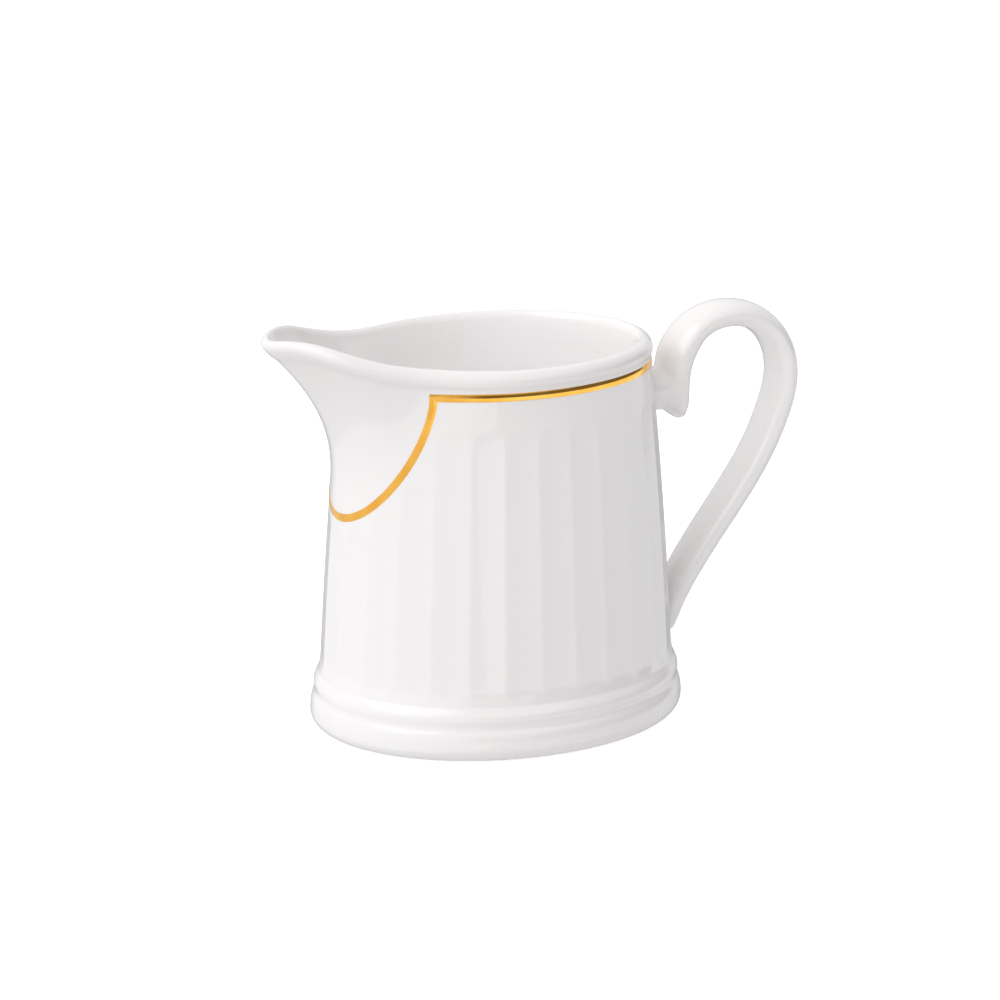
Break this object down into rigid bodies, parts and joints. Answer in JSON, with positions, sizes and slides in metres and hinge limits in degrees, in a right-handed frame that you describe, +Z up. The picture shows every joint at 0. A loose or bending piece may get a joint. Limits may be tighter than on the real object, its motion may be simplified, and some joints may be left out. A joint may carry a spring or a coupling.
{
  "type": "cream jug",
  "caption": "Oval porcelain cream jug with a pulled spout, a looped handle with a finger spur, fluted walls and fired gold lines.",
  "frame": {"origin": "middle of the whole jug's box, on the surface that it stands on", "axes": "+Z up, +X from the spout towards the handle, the jug symmetric about the XZ plane"},
  "size_m": [0.134, 0.073, 0.0954],
  "materials": {
    "glazed_porcelain": "white porcelain under a clear gloss glaze",
    "joining_slip": "fired porcelain slip under the same glaze",
    "fired_gold": null
  },
  "bodies": {
    "root": {"jug_body": "glazed_porcelain", "handle": "glazed_porcelain", "handle_upper_slip_joint": "joining_slip", "handle_lower_slip_joint": "joining_slip", "rim_gold_line": "fired_gold", "spout_gold_line": "fired_gold"}
  },
  "joints": []
}
